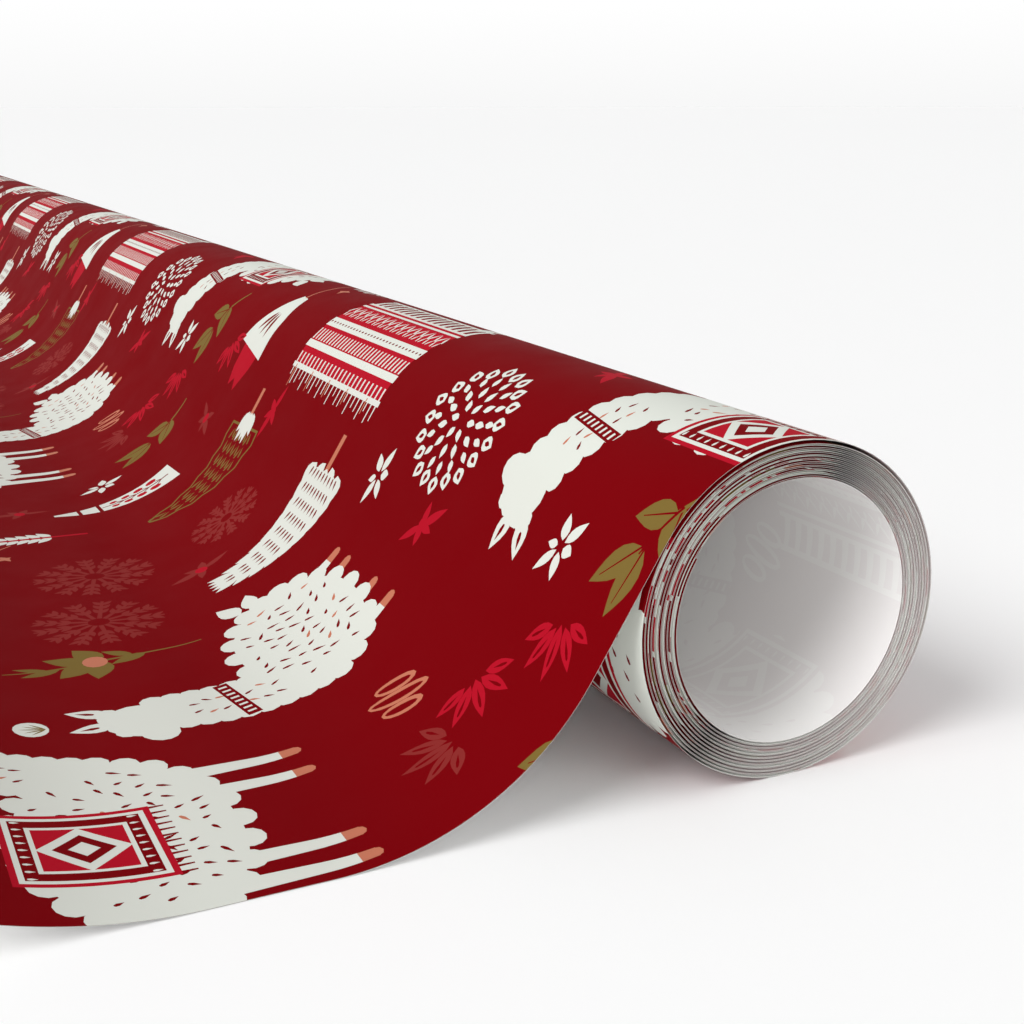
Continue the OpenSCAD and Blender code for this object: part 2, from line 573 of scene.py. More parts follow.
@dataclass(frozen=True)
class Grazer:
    """A plain woolly grazer without a face, seen from its side and facing +u.

    Attributes:
        half, high: half the length and half the height of its body.
        lean: how far the neck leans forward of the chest.
        rise: how far the head stands over the back.
        legs: where the legs are, from the body's middle.
        leg: how long they are.
        cloth: whether it carries a saddle cloth.
        seed: start of the draws that scatter its flecks.
    """

    half: float
    high: float
    lean: float
    rise: float
    legs: tuple[float, ...]
    leg: float
    cloth: bool
    seed: int

    def neck(self, k: float) -> Point:
        """A point up the middle of the neck, from 0 at the chest to 1 under the head."""
        chest, top = self.half - 4.5, self.half + self.lean
        return chest + (top - chest) * k, (self.high + self.rise - 3) * k

    def wool(self, motif: Motif) -> None:
        """Draw the body, neck and head as a cloud of curls."""
        white = Ink.WHITE
        motif.add(white, oval(0, 0, self.half, self.high, sides=24))
        curls = round(2.4 * (self.half + self.high) / 3.4)
        for i in range(curls):
            a = 2 * math.pi * i / curls
            motif.add(white, oval(self.half * math.cos(a), self.high * math.sin(a), 2.3, 2.1, sides=12))
        motif.add(white, leaf(-self.half, self.high * 0.5, 6, 3.6, 150))
        motif.add(white, leaf(-self.half, self.high * 0.3, 6, 3, 185))
        motif.add(white, limb(*self.neck(0), *self.neck(1), 12.0, 9.4))
        steps = round((self.neck(1)[1] + 2) / 3.2)
        for i in range(steps + 1):
            u, s = self.neck(i / steps)
            for side in (-1, 1):
                motif.add(white, oval(u + side * (5.6 - 1.2 * i / steps), s, 2.0, 2.0, sides=10))

    def head(self, motif: Motif) -> None:
        """Draw the head, its tuft and its two ears."""
        top, crown = self.half + self.lean, self.high + self.rise
        motif.add(Ink.WHITE, oval(top + 1.2, crown, 5.6, 4.6, -8, 18))
        motif.add(Ink.WHITE, oval(top + 5.8, crown - 1.6, 3.4, 2.7, -14, 14))
        for i in range(5):
            motif.add(Ink.WHITE, oval(top - 2.6 + 1.7 * i, crown + 3.9 - 0.1 * i * i, 1.9, 1.8, sides=10))
        for across, turn in ((-2.6, 112), (1.0, 82)):
            foot = (top + across, crown + 3.2)
            motif.add(Ink.WHITE, leaf(*foot, 6.6, 3.1, turn))
            motif.add(Ink.CRIMSON, stroke(*away(3.8, turn, *foot), 2.8, 0.8, turn + 180))

    def fleece(self, motif: Motif) -> None:
        """Scatter short flecks over the body and the neck."""
        draw = random.Random(self.seed)
        rows, columns = round(self.high / 1.6), round(self.half / 1.7)
        for row in range(rows):
            for column in range(columns):
                u = self.half * 0.86 * ((column + 0.5 + 0.5 * (row % 2)) / columns * 2 - 1)
                s = self.high * 0.84 * ((row + 0.5) / rows * 2 - 1)
                u, s = u + draw.uniform(-0.5, 0.5), s + draw.uniform(-0.4, 0.4)
                if (u / self.half) ** 2 + (s / self.high) ** 2 < 0.8 and draw.random() < 0.82:
                    ink = Ink.COPPER if draw.random() < 0.12 else Ink.CRIMSON
                    motif.add(ink, stroke(u, s, draw.uniform(1.3, 2.3), 0.62, draw.choice((64, 118, 98, 30))))
        steps = round(self.rise / 2.6)
        for i in range(steps):
            u, s = self.neck((self.high * 0.7 + (self.rise - 4) * (i + 0.5) / steps) / self.neck(1)[1])
            for side in (-1, 1):
                ink = Ink.COPPER if (i + side) % 3 == 0 else Ink.CRIMSON
                across = u + side * draw.uniform(1.0, 2.4)
                motif.add(ink, stroke(across, s, 1.7, 0.55, draw.choice((60, 90, 120))))

    def dress(self, motif: Motif) -> None:
        """Draw the collar and, where it has one, the striped saddle cloth."""
        u, s = self.neck((self.high + 0.22 * self.rise) / self.neck(1)[1])
        motif.add(Ink.CRIMSON, turned(slab(-6.4, -1.1, 6.2, 1.1), -9, u, s))
        for i in range(8):
            motif.add(Ink.WHITE, turned(slab(-5.5 + 1.45 * i, -0.65, -4.95 + 1.45 * i, 0.65), -9, u, s))
        if not self.cloth:
            return
        left, right = -0.5 * self.half, 0.36 * self.half
        low, high = -0.28 * self.high, self.high + 1.6
        motif.add(Ink.BRIGHT, slab(left, low, right, high))
        for inset, ink in ((0.8, Ink.WHITE), (1.5, Ink.CRIMSON), (3.2, Ink.WHITE), (3.8, Ink.BRIGHT)):
            motif.add(ink, slab(left + inset, low + inset, right - inset, high - inset))
        middle, height = (left + right) / 2, high - low
        for size, ink in ((0.3, Ink.WHITE), (0.2, Ink.CRIMSON), (0.1, Ink.WHITE)):
            motif.add(ink, oval(middle, low + 0.5 * height, size * (right - left), size * height, sides=4))
        for i in range(9):
            across = left + 1.9 + (right - left - 3.8) * i / 8
            for edge in (low + 2.35, high - 2.35):
                motif.add(Ink.WHITE, stroke(across, edge, 1.2, 0.5, 90))
        for i in range(12):
            across = left + 0.5 + (right - left - 1) * i / 11
            motif.add(Ink.CRIMSON, limb(across, low, across, low - 1.8, 0.55, 0.3))

    def drawn(self) -> Motif:
        """Draw the whole figure, about the middle of its body."""
        motif = Motif()
        foot = -self.high - self.leg
        for across in self.legs:
            motif.add(Ink.WHITE, limb(across, -self.high * 0.5, across, foot + 2.4, 3.4, 2.1))
            motif.add(Ink.COPPER, limb(across, foot + 2.6, across, foot + 0.4, 2.1, 1.9))
            motif.add(Ink.COPPER, oval(across, foot + 0.6, 0.95, 0.9, sides=8))
        self.wool(motif)
        self.head(motif)
        self.fleece(motif)
        self.dress(motif)
        return motif


# ----------------------------------------------------------------- artwork


@dataclass
class FlatPanel:
    """A stretch of the print, cut into triangles that never cross an outline.

    Attributes:
        points: corners (u, s) in mm.
        triangles: corner numbers, anticlockwise.
        inks: the ink of each triangle.
    """

    points: list[Point]
    triangles: list[tuple[int, int, int]]
    inks: list[Ink]


@dataclass
class Artwork:
    """The printed pattern, which repeats along and round the web.

    Attributes:
        repeat_u, repeat_s: size of one repeat in mm.
        patches: everything printed in one repeat, the lowest first.
    """

    repeat_u: float = 195.0
    repeat_s: float = 195.0
    patches: list[Patch] = field(default_factory=list)

    def __post_init__(self) -> None:
        """Lay out one repeat."""
        self.lay_grazers()
        self.lay_trees()
        self.lay_cloths()
        self.lay_plants()
        self.lay_marks()

    def lay_grazers(self) -> None:
        """Place the four woolly figures."""
        tall = Grazer(20, 12, 5, 16, (-15, -9.5, 10, 15.5), 16, True, 11)
        small = Grazer(17, 10.5, -5, 18, (-12, -7, 5, 12), 3, False, 23)
        broad = Grazer(21, 13, 4, 17, (-16, -10.5, 8, 14), 12, True, 37)
        self.patches += tall.drawn().placed(9, -26)
        self.patches += small.drawn().placed(66, 38, mirror=True)
        self.patches += broad.drawn().placed(19, 75)
        self.patches += small.drawn().placed(118, 118)

    def lay_trees(self) -> None:
        """Place the firs and the cones."""
        white_fir = fir(Ink.WHITE, Ink.CRIMSON, Ink.COPPER)
        line_fir = outlined_fir(Ink.OLIVE, Ink.CRIMSON, Ink.WHITE, Ink.COPPER)
        self.patches += white_fir.placed(99, 15.5)
        self.patches += white_fir.placed(62, 116, 4)
        self.patches += line_fir.placed(147, 17, 3)
        self.patches += line_fir.placed(86, 112, -3)
        self.patches += berry_cone().placed(166, 33, 2)
        self.patches += berry_cone().placed(153, 112)

    def lay_cloths(self) -> None:
        """Place the blankets and the pennants."""
        self.patches += striped_blanket().placed(116, -12)
        self.patches += striped_blanket(44, 27).placed(4, 115)
        self.patches += pennant().placed(166, -2, -8, 1.3)
        self.patches += pennant().placed(140, 92, 6, 1.2)

    def lay_plants(self) -> None:
        """Place the bursts, flowers, twigs and sprigs."""
        white_burst = seed_burst(Ink.WHITE, Ink.CRIMSON)
        rust_burst = fern_burst(Ink.RUST)
        for motif, u, s, turn in (
            (white_burst, 62, -3, 0), (white_burst, 160, 158, 40), (rust_burst, 121, 60, 0),
            (rust_burst, 96, 64, 14), (fern_burst(Ink.RUST, 8), 124, 33, 5), (rust_burst, 182, 140, 8),
            (petal_flower(Ink.WHITE), 20, 6.5, 0), (petal_flower(Ink.WHITE), 79, 11, 25),
            (petal_flower(Ink.WHITE), 181, 47, 60), (petal_flower(Ink.WHITE), 47, 105, 10),
            (petal_flower(Ink.WHITE), 103, 95, 40), (petal_flower(Ink.WHITE), 172, 88, 0),
            (flowering_twig(), 78, 68, 4), (flowering_twig(), 182, 108, -12),
            (leaf_pair(Ink.OLIVE, Ink.CRIMSON), 3, 1, -20), (leaf_pair(Ink.OLIVE, Ink.CRIMSON), 191, 31, 8),
            (leaf_pair(Ink.OLIVE, Ink.CRIMSON), 38, -52, 0), (feathered_branch(), 150, 62, -4),
            (feathered_branch(), 98, -42, 5),
        ):
            self.patches += motif.placed(u, s, turn)

    def lay_marks(self) -> None:
        """Place the small marks that fill the gaps."""
        red_sprig, rust_sprig = bud_sprig(Ink.BRIGHT, Ink.BRIGHT), bud_sprig(Ink.RUST, Ink.BRIGHT)
        fan, loops = leaf_fan(Ink.BRIGHT), loop_mark(Ink.COPPER)
        for motif, u, s, turn in (
            (red_sprig, 57, 14, 150), (rust_sprig, 109, 43, 35), (red_sprig, 137, 11, 10),
            (rust_sprig, 172, 20, 80), (red_sprig, 48, -24, 60), (rust_sprig, 84, 96, 0),
            (red_sprig, 132, 150, 40), (rust_sprig, 170, 66, 20),
            (fan, 10, 18, 20), (fan, 18, 28, 70), (leaf_fan(Ink.RUST), 15, 38, 0), (fan, 86, -30, 0),
            (fan, 140, 80, 30), (fan, 178, 5, 45), (leaf_fan(Ink.RUST), 108, 150, 10),
            (loops, 32, 35, 75), (loops, 30, 100, 20), (loops, 135, 108, 0), (loops, 186, 74, 60),
            (striped_ball(), 54, 81, 0), (striped_ball(), 129, 84, 30), (striped_ball(), 152, -34, 0),
        ):
            self.patches += motif.placed(u, s, turn)

    def near(self, low: float, high: float) -> list[Patch]:
        """Every patch that shows in one repeat along the roll.

        Args:
            low, high: the stretch of s that is wanted.

        Returns:
            The patches and their copies from the next repeats, in the order they are printed.
        """
        found = []
        first = math.floor((low - self.repeat_s) / self.repeat_s)
        last = math.ceil((high + self.repeat_s) / self.repeat_s)
        for patch in self.patches:
            u0, s0, u1, s1 = patch.bounds()
            for i in (-1, 0, 1):
                for j in range(first, last + 1):
                    du, ds = i * self.repeat_u, j * self.repeat_s
                    if u1 + du > 0 and u0 + du < self.repeat_u and s1 + ds > low and s0 + ds < high:
                        found.append(Patch(patch.ink, tuple((u + du, s + ds) for u, s in patch.outline)))
        return found

    def panel(self, cuts: list[float], part_u: float) -> FlatPanel:
        """Cut one repeat along the roll into triangles.

        Args:
            cuts: the lines of constant s to cut along, in rising order, with the panel's two edges.
            part_u: one more cut across, where the last repeat ends.

        Returns:
            The panel.
        """
        low, high = cuts[0], cuts[-1]
        points: list[Vector] = []
        edges: list[tuple[int, int]] = []
        faces: list[list[int]] = []
        patches = self.near(low, high)
        for patch in patches:
            first = len(points)
            following = patch.outline[1:] + patch.outline[:1]
            area = sum(a[0] * b[1] - b[0] * a[1] for a, b in zip(patch.outline, following))
            corners = patch.outline if area > 0 else tuple(reversed(patch.outline))
            points += [Vector(corner) for corner in corners]
            faces.append(list(range(first, len(points))))
        across = [((0.0, s), (self.repeat_u, s)) for s in cuts]
        along = [((u, low), (u, high)) for u in (0.0, part_u, self.repeat_u)]
        for start, end in across + along:
            points += [Vector(start), Vector(end)]
            edges.append((len(points) - 2, len(points) - 1))
        out, _, triangles, _, _, sources = delaunay_2d_cdt(points, edges, faces, 0, 0.0001)
        panel = FlatPanel([(v.x, v.y) for v in out], [], [])
        for corners, source in zip(triangles, sources):
            u = sum(out[c].x for c in corners) / 3
            s = sum(out[c].y for c in corners) / 3
            if 0 < u < self.repeat_u and low < s < high:
                panel.triangles.append(tuple(corners))
                panel.inks.append(patches[max(source)].ink if source else Ink.CRIMSON)
        return panel

    def edge_inks(self, u: float) -> "EdgeInks":
        """The inks that lie along a line of constant u."""
        u = u % self.repeat_u
        hits = [p for p in self.near(0.0, self.repeat_s) if p.bounds()[0] <= u <= p.bounds()[2]]
        return EdgeInks(u, self.repeat_s, hits)


@dataclass
class EdgeInks:
    """The print along one line round the roll.

    Attributes:
        u: where the line is.
        repeat_s: the length after which it repeats.
        patches: the patches that cross it.
    """

    u: float
    repeat_s: float
    patches: list[Patch]

    def at(self, s: float) -> Ink:
        """The ink at a place along the line."""
        s = s % self.repeat_s
        for patch in reversed(self.patches):
            if patch.holds(self.u, s):
                return patch.ink
        return Ink.CRIMSON


# ------------------------------------------------------------------- paths


@dataclass(frozen=True)
class WebPath:
    """Where the printed face runs, seen along the roll, in metres. s is 0 where the sheet leaves the roll.

    Attributes:
        axis_y, axis_z: the roll's axis.
        land_y, lift_y: the two edges of the strip that lies flat.
        paper: thickness that the CAD sheet has.
        pitch: how far a turn steps out.
        leave: angle at which the sheet leaves the roll.
        bend: radius of the bend down to the table, under the sheet.
        curl: radius of the curl of the free end, under the sheet.
    """

    axis_y: float
    axis_z: float
    land_y: float
    lift_y: float
    paper: float
    pitch: float = 0.2 * MM
    leave: float = math.radians(148)
    bend: float = 38 * MM
    curl: float = 65 * MM

    def out(self, angle: float) -> Vector:
        """Unit vector at an angle above +Y, as (y, z)."""
        return Vector((math.cos(angle), math.sin(angle)))

    def turn(self, inner: float, step: float, back: float) -> tuple[Vector, Vector]:
        """A point on a turn, which steps out from start to end.

        Args:
            inner: radius of its printed face at its start.
            step: how much further out its end is.
            back: how far the point is from its end, along the paper.

        Returns:
            The point (y, z) and the printed side's normal.
        """
        axis = Vector((self.axis_y, self.axis_z))
        second = inner + step / 2
        if back <= math.pi * second:
            way = self.out(self.leave - back / second)
            return axis + self.out(self.leave) * step / 2 + way * second, way
        way = self.out(self.leave - math.pi - (back - math.pi * second) / inner)
        return axis + way * inner, way

    def turn_length(self, inner: float, step: float) -> float:
        """Length of a turn's printed face."""
        return math.pi * (2 * inner + step / 2)

    def stops(self) -> tuple[float, float, float, float]:
        """Divide the drawn-off sheet.

        Returns:
            The values of s where the fall, the bend and the flat strip end, and the radius of the
            printed face in the bend.
        """
        inner = self.bend - self.paper
        start = Vector((self.axis_y, self.axis_z)) + self.out(self.leave) * (self.axis_z + self.pitch)
        foot = Vector((self.land_y, self.bend)) - self.out(self.leave) * inner
        fall = (foot - start).length
        bent = fall + inner * (self.leave - math.pi / 2)
        return fall, bent, bent + self.land_y - self.lift_y, inner

    def at(self, s: float) -> tuple[Vector, Vector]:
        """A point of the outer lap or of the drawn-off sheet.

        Args:
            s: how far it is from the line where the sheet leaves the roll, in metres; below 0 on the roll.

        Returns:
            The point (y, z) and the printed side's normal.
        """
        if s <= 0:
            return self.turn(self.axis_z, self.pitch, -s)
        fall, bent, flat, inner = self.stops()
        if s <= fall:
            start = Vector((self.axis_y, self.axis_z)) + self.out(self.leave) * (self.axis_z + self.pitch)
            return start + self.out(self.leave + math.pi / 2) * s, self.out(self.leave)
        if s <= bent:
            way = self.out(self.leave + math.pi - (s - fall) / inner)
            return Vector((self.land_y, self.bend)) + way * inner, -way
        if s <= flat:
            return Vector((self.land_y - (s - bent), self.paper)), Vector((0, 1))
        radius = self.curl - self.paper
        way = self.out(1.5 * math.pi - (s - flat) / radius)
        return Vector((self.lift_y, self.curl)) + way * radius, -way


# --------------------------------------------------------------- materials


def srgb(red: int, green: int, blue: int) -> tuple[float, float, float, float]:
    """A colour given as it looks on a screen, made linear.

    Args:
        red, green, blue: from 0 to 255.

    Returns:
        The linear colour with an alpha of 1.
    """
    parts = [c / 255 for c in (red, green, blue)]
    linear = [c / 12.92 if c <= 0.04045 else ((c + 0.055) / 1.055) ** 2.4 for c in parts]
    return (*linear, 1.0)


class PaperGrain:
    """The node group for the surface of paper: its fibres, its calendering and how unevenly it shines."""

    def __init__(self) -> None:
        """Build the group once."""
        self.tree = bpy.data.node_groups.new("paper_grain", "ShaderNodeTree")
        face = self.tree.interface
        inputs = (("Fibre scale", 2600.0), ("Cloud scale", 90.0), ("Roughness", 0.5), ("Spread", 0.08))
        for name, value in inputs:
            face.new_socket(name, in_out="INPUT", socket_type="NodeSocketFloat").default_value = value
        for name in ("Height", "Roughness"):
            face.new_socket(name, in_out="OUTPUT", socket_type="NodeSocketFloat")
        self.wire()

    def wire(self) -> None:
        """Join the nodes inside the group."""
        nodes, links = self.tree.nodes, self.tree.links
        inputs, outputs = nodes.new("NodeGroupInput"), nodes.new("NodeGroupOutput")
        place = nodes.new("ShaderNodeTexCoord")
        stretch = nodes.new("ShaderNodeMapping")
        stretch.inputs["Scale"].default_value = (0.35, 1.0, 1.0)
        fibre, cloud = nodes.new("ShaderNodeTexNoise"), nodes.new("ShaderNodeTexNoise")
        fibre.inputs["Detail"].default_value = 4.0
        cloud.inputs["Detail"].default_value = 3.0
        links.new(place.outputs["Object"], stretch.inputs["Vector"])
        links.new(stretch.outputs["Vector"], fibre.inputs["Vector"])
        links.new(place.outputs["Object"], cloud.inputs["Vector"])
        links.new(inputs.outputs["Fibre scale"], fibre.inputs["Scale"])
        links.new(inputs.outputs["Cloud scale"], cloud.inputs["Scale"])
        height = nodes.new("ShaderNodeMath")
        height.operation = "MULTIPLY_ADD"
        height.inputs[1].default_value = 0.5
        links.new(cloud.outputs["Fac"], height.inputs[0])
        links.new(fibre.outputs["Fac"], height.inputs[2])
        uneven = nodes.new("ShaderNodeMath")
        uneven.operation = "SUBTRACT"
        uneven.inputs[1].default_value = 0.5
        links.new(cloud.outputs["Fac"], uneven.inputs[0])
        rough = nodes.new("ShaderNodeMath")
        rough.operation = "MULTIPLY_ADD"
        links.new(uneven.outputs[0], rough.inputs[0])
        links.new(inputs.outputs["Spread"], rough.inputs[1])
        links.new(inputs.outputs["Roughness"], rough.inputs[2])
        links.new(height.outputs[0], outputs.inputs["Height"])
        links.new(rough.outputs[0], outputs.inputs["Roughness"])


@dataclass(frozen=True)
class PaperFinish:
    """How one ink, or bare paper, looks.

    Attributes:
        colour: its linear colour.
        roughness, spread: its mean roughness and how far that strays.
        relief: height of its fibres in metres.
        fibre: how fine they are.
        specular: strength of its plain reflection.
    """

    colour: tuple[float, float, float, float]
    roughness: float = 0.52
    spread: float = 0.22
    relief: float = 0.004 * MM
    fibre: float = 2600.0
    specular: float = 0.015

    def made(self, name: str, grain: PaperGrain) -> bpy.types.Material:
        """Build the material.

        Args:
            name: the material's name.
            grain: the node group that it uses.

        Returns:
            The material.
        """
        material = bpy.data.materials.new(name)
        material.use_nodes = True
        nodes, links = material.node_tree.nodes, material.node_tree.links
        shader = nodes["Principled BSDF"]
        shader.inputs["Base Color"].default_value = self.colour
        shader.inputs["Specular IOR Level"].default_value = self.specular
        group = nodes.new("ShaderNodeGroup")
        group.node_tree = grain.tree
        group.inputs["Fibre scale"].default_value = self.fibre
        group.inputs["Roughness"].default_value = self.roughness
        group.inputs["Spread"].default_value = self.spread
        bump = nodes.new("ShaderNodeBump")
        bump.inputs["Distance"].default_value = self.relief
        bump.inputs["Strength"].default_value = 0.6
        links.new(group.outputs["Height"], bump.inputs["Height"])
        links.new(group.outputs["Roughness"], shader.inputs["Roughness"])
        links.new(bump.outputs["Normal"], shader.inputs["Normal"])
        material.diffuse_color = self.colour
        return material


FINISHES = {
    Ink.CRIMSON: PaperFinish(srgb(116, 1, 8)),
    Ink.WHITE: PaperFinish(srgb(212, 215, 207)),
    Ink.BRIGHT: PaperFinish(srgb(172, 16, 36)),
    Ink.OLIVE: PaperFinish(srgb(118, 98, 48), roughness=0.46),
    Ink.COPPER: PaperFinish(srgb(188, 112, 86), roughness=0.44, specular=0.08),
    Ink.RUST: PaperFinish(srgb(132, 42, 40)),
    Ink.BACK: PaperFinish(srgb(234, 233, 231), 0.72, 0.12, 0.008 * MM, 1900.0, 0.1),
    Ink.SHADE: PaperFinish(srgb(230, 227, 226), 0.72, 0.12, 0.008 * MM, 1900.0, 0.1),
    # Cut edge: painted grey, below the paper's own white, as painted shade where the gaps between the turns
    # show at the roll's ends.
    Ink.EDGE: PaperFinish(srgb(162, 158, 154), 0.85, 0.1, 0.012 * MM, 5200.0, 0.1),
}


# ------------------------------------------------------------------ sheets

Face = tuple[tuple[int, ...], Ink]
Sides = tuple[list[Face], list[Face]]


@dataclass
class Stock:
    """What every piece of the web is cut from.

    Attributes:
        art: the print.
        path: where the web runs.
        materials: the material of each ink.
        near_x: X of the end of the roll at which u is 0.
        width: width of the web.
        paper: thickness of the paper.
    """

    art: Artwork
    path: WebPath
    materials: dict[Ink, bpy.types.Material]
    near_x: float
    width: float
    paper: float = 0.05 * MM


@dataclass
class Solid:
    """A closed mesh in the making, with a normal for each corner of each face.

    Attributes:
        name: the piece's name.
        stock: what it is cut from.
        points: its vertices in metres.
        faces: its faces.
        inks: the ink of each face.
        normals: the normal at each face corner.
    """

    name: str
    stock: Stock
    points: list[Vector] = field(default_factory=list)
    faces: list[tuple[int, ...]] = field(default_factory=list)
    inks: list[Ink] = field(default_factory=list)
    normals: list[Vector] = field(default_factory=list)

    def add_face(self, corners: tuple[int, ...], ink: Ink, normals: list[Vector] | None = None) -> None:
        """Add a face.

        Args:
            corners: vertex numbers, anticlockwise from outside.
            ink: what it shows.
            normals: one for each corner, or None for a flat face.
        """
        if normals is None:
            a, b, c = (self.points[i] for i in corners[:3])
            flat = (b - a).cross(c - a).normalized()
            normals = [flat] * len(corners)
        self.faces.append(corners)
        self.inks.append(ink)
        self.normals += normals

    def finished(self) -> bpy.types.Object:
        """Make the object, with its materials and its normals."""
        mesh = bpy.data.meshes.new(self.name)
        mesh.from_pydata(self.points, [], self.faces)
        used = [ink for ink in Ink if ink in set(self.inks)]
        for ink in used:
            mesh.materials.append(self.stock.materials[ink])
        number = {ink: i for i, ink in enumerate(used)}
        mesh.polygons.foreach_set("material_index", [number[ink] for ink in self.inks])
        mesh.polygons.foreach_set("use_smooth", [True] * len(self.faces))
        mesh.update()
        mesh.normals_split_custom_set(self.normals)
        piece = bpy.data.objects.new(self.name, mesh)
        bpy.context.scene.collection.objects.link(piece)
        return piece


@dataclass
class PrintedSheet:
    """A stretch of the web with its whole print, from one line round the roll to another.

    Attributes:
        name: the piece's name.
        stock: what it is cut from.
        low, high: the stretch of s that it covers, in metres.
        step: how far apart its bending lines are, in metres.
    """

    name: str
    stock: Stock
    low: float
    high: float
    step: float = 1.6 * MM

    def place(self, s: float) -> tuple[Vector, Vector]:
        """The point (y, z) and normal of the printed face at s."""
        return self.stock.path.at(s)

    def cuts(self) -> list[float]:
        """The bending lines in mm, with both edges."""
        count = math.ceil((self.high - self.low) / self.step)
        return [(self.low + (self.high - self.low) * i / count) / MM for i in range(count + 1)]

    def flat(self) -> tuple[list[Point], list[Face]]:
        """Repeat the panel over the width of the web.

        Returns:
            Corners in mm without doubles, and the triangles of the print.
        """
        art, width = self.stock.art, self.stock.width / MM
        whole = int(width // art.repeat_u)
        panel = art.panel(self.cuts(), width - whole * art.repeat_u)
        numbers: dict[tuple[int, int], int] = {}
        points: list[Point] = []
        faces: list[Face] = []
        for repeat in range(whole + 1):
            shift = repeat * art.repeat_u
            mine = []
            for u, s in panel.points:
                key = (round((u + shift) * STEPS_PER_MM), round(s * STEPS_PER_MM))
                if key not in numbers:
                    numbers[key] = len(points)
                    points.append((min(u + shift, width), s))
                mine.append(numbers[key])
            for corners, ink in zip(panel.triangles, panel.inks):
                if sum(panel.points[c][0] for c in corners) / 3 + shift < width:
                    triple = tuple(mine[c] for c in corners)
                    if len(set(triple)) == 3:
                        faces.append((triple, ink))
        return points, faces

    def outline(self, points: list[Point], drawing: list[Face]) -> list[int]:
        """Go once round the sheet, the way its triangles go.

        Args:
            points: flat corners in mm.
            drawing: the triangles of the print.

        Returns:
            Corner numbers, from the corner at u = 0 on the first bending line.
        """
        edges = {edge for corners, _ in drawing for edge in zip(corners, corners[1:] + corners[:1])}
        after = {a: b for a, b in edges if (b, a) not in edges}
        ring = [min(after, key=lambda c: sum(points[c]))]
        while after[ring[-1]] != ring[0]:
            ring.append(after[ring[-1]])
        return ring

    def bends(self, points: list[Point], ring: list[int]) -> tuple[list[int], list[int]]:
        """Find where the bending lines meet the outline.

        Args:
            points: flat corners in mm.
            ring: the outline.

        Returns:
            Places in the outline at u = 0 and at the full width, one for each line but the two edges.
        """
        sides = []
        for u in (0.0, self.stock.width / MM):
            sides.append([
                min(range(len(ring)), key=lambda i: math.dist(points[ring[i]], (u, s)))
                for s in self.cuts()[1:-1]
            ])
        return sides[0], sides[1]

    def sides(self, points: list[Point], drawing: list[Face], ring: list[int]) -> Sides:
        """The faces of the printed side and of the back, which is one plain flat from bend to bend.

        Args:
            points: flat corners in mm.
            drawing: the triangles of the print.
            ring: the outline.

        Returns:
            The faces of both sides, all seen from the printed side.
        """
        left, right = self.bends(points, ring)
        flats = [ring[left[0]:] + ring[:right[0] + 1], ring[right[-1]:left[-1] + 1]]
        for i in range(len(left) - 1):
            flats.append(ring[right[i]:right[i + 1] + 1] + ring[left[i + 1]:left[i] + 1])
        return drawing, [(tuple(flat), Ink.BACK) for flat in flats]

    def build(self) -> bpy.types.Object:
        """Roll or bend the flat print into its place and give it thickness.

        Returns:
            The finished piece.
        """
        points, drawing = self.flat()
        ring = self.outline(points, drawing)
        places: dict[float, tuple[Vector, Vector]] = {}
        solid = Solid(self.name, self.stock)
        layers = []
        for faces, depth in zip(self.sides(points, drawing, ring), (0.0, self.stock.paper)):
            numbers: dict[int, int] = {}
            for c in sorted({c for corners, _ in faces for c in corners}):
                u, s = points[c]
                if s not in places:
                    places[s] = self.place(s * MM)
                at, way = places[s]
                under = at - way * depth
                numbers[c] = len(solid.points)
                solid.points.append(Vector((self.stock.near_x - u * MM, under.x, under.y)))
            for corners, ink in faces:
                ways = [Vector((0, *places[points[c][1]][1])) for c in corners]
                if depth:
                    corners, ways = corners[::-1], [-way for way in reversed(ways)]
                solid.add_face(tuple(numbers[c] for c in corners), ink, ways)
            layers.append(numbers)
        front, back = layers
        for a, b in zip(ring, ring[1:] + ring[:1]):
            solid.add_face((front[a], back[a], back[b], front[b]), Ink.EDGE)
        return solid.finished()


@dataclass(kw_only=True)
class BoreTurn(PrintedSheet):
    """The innermost turn. Its back is the wall of the bore, where the print shows through faintly.

    Attributes:
        inner: radius of its printed face at its start.
        out: how much further out its end is.
        end: value of s at its outer end.
        near, far: the print along the two ends of the roll.
    """

    inner: float
    out: float
    end: float
    near: EdgeInks
    far: EdgeInks

    def place(self, s: float) -> tuple[Vector, Vector]:
        """The point (y, z) and normal of the printed face at s."""
        return self.stock.path.turn(self.inner, self.out, self.end - s)

    def sides(self, points: list[Point], drawing: list[Face], ring: list[int]) -> Sides:
        """The faces of the printed side, whose print only shows at the roll's two ends, and of the back.

        Args:
            points: flat corners in mm; the inner corners of the printed side are added.
            drawing: the triangles of the print.
            ring: the outline.

        Returns:
            The faces of both sides, all seen from the printed side.
        """
        left, right = self.bends(points, ring)
        cuts, width = self.cuts()[1:-1], self.stock.width / MM
        count, first = len(cuts), len(points)
        points += [(u, s) for u in (RIM / MM, width - RIM / MM) for s in cuts]
        near, far = range(first, first + count), range(first + count, first + 2 * count)
        front = [
            ((*ring[left[0]:], *ring[:right[0] + 1], far[0], near[0]), Ink.CRIMSON),
            ((*ring[right[-1]:left[-1] + 1], near[-1], far[-1]), Ink.CRIMSON),
        ]
        for i in range(count - 1):
            s = (cuts[i] + cuts[i + 1]) / 2
            front.append(((near[i], near[i + 1], *ring[left[i + 1]:left[i] + 1]), self.near.at(s)))
            front.append(((near[i], far[i], far[i + 1], near[i + 1]), Ink.CRIMSON))
            front.append(((*ring[right[i]:right[i + 1] + 1], far[i + 1], far[i]), self.far.at(s)))
        light = (Ink.WHITE, Ink.COPPER, Ink.OLIVE)
        return front, [(corners, Ink.BACK if ink in light else Ink.SHADE) for corners, ink in drawing]


